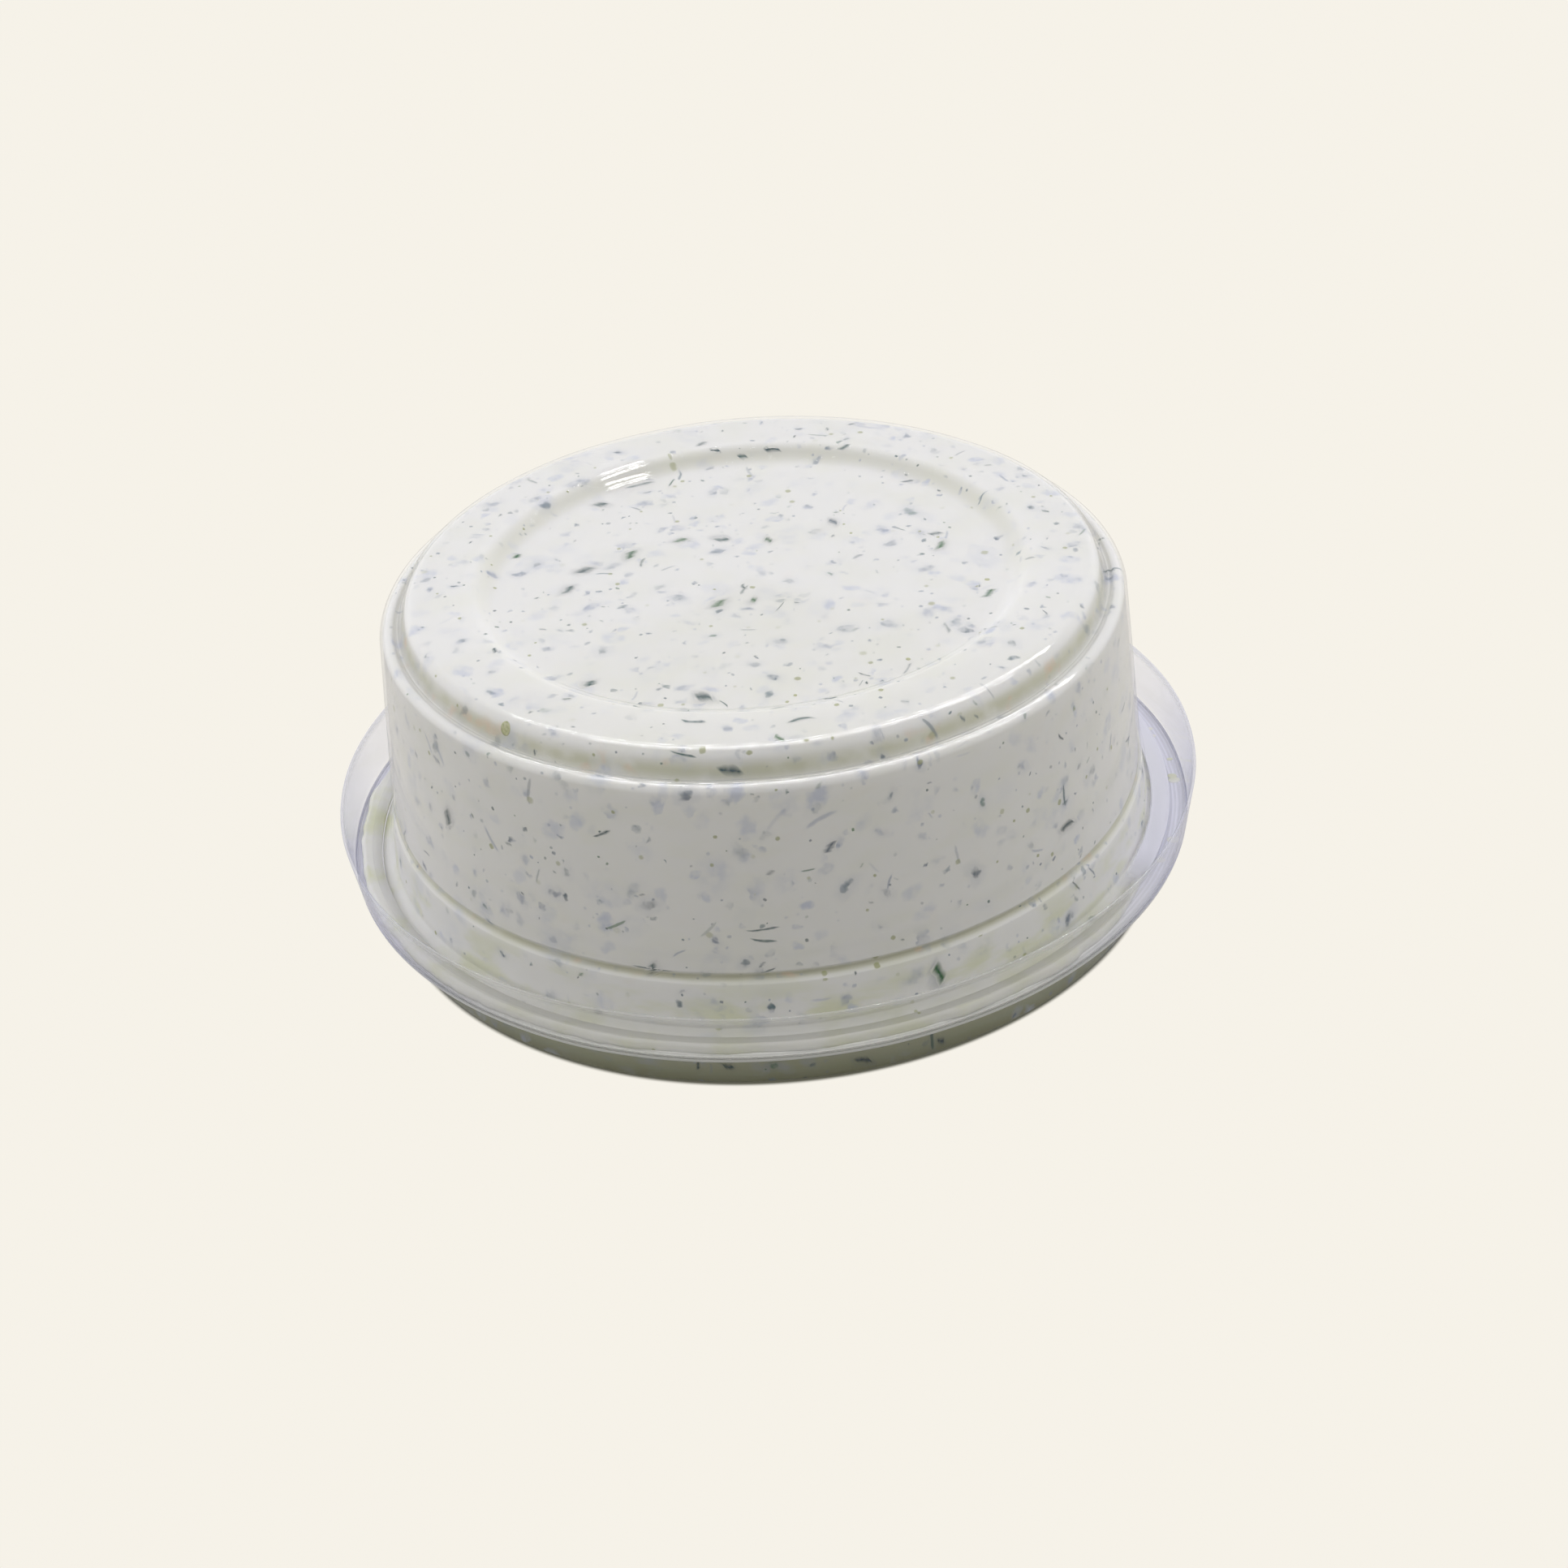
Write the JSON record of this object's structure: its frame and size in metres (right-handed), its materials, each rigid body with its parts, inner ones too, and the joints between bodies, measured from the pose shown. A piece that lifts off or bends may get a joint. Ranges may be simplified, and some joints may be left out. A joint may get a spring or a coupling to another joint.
{
  "type": "shaving soap puck",
  "caption": "Round herb-flecked shaving soap puck cast in a clear tapered tub that stands upside down on its clear snap lid.",
  "frame": {"origin": "centre of the lid's flat resting face", "axes": "+Z along the shared axis of revolution, from the lid to the tub's base; X and Y are any two directions across it"},
  "size_m": [0.0906, 0.0906, 0.0344],
  "materials": {
    "clear_tub": "thermoformed clear sheet, glossy, faint lavender tint",
    "clear_lid": "thermoformed clear sheet, glossy, faint lavender tint",
    "herb_soap": "cream white cast soap with slate green herb flecks"
  },
  "bodies": {
    "lid": {"lid": "clear_lid"},
    "puck": {"soap_puck": "herb_soap"},
    "tub": {"tub": "clear_tub"}
  },
  "joints": [
    {"name": "puck_lift", "type": "slide", "parent": "lid", "child": "puck", "axis": [0, 0, 1], "range_m": [0, 0.03]},
    {"name": "tub_lift", "type": "slide", "parent": "puck", "child": "tub", "axis": [0, 0, 1], "range_m": [0, 0.045]}
  ]
}
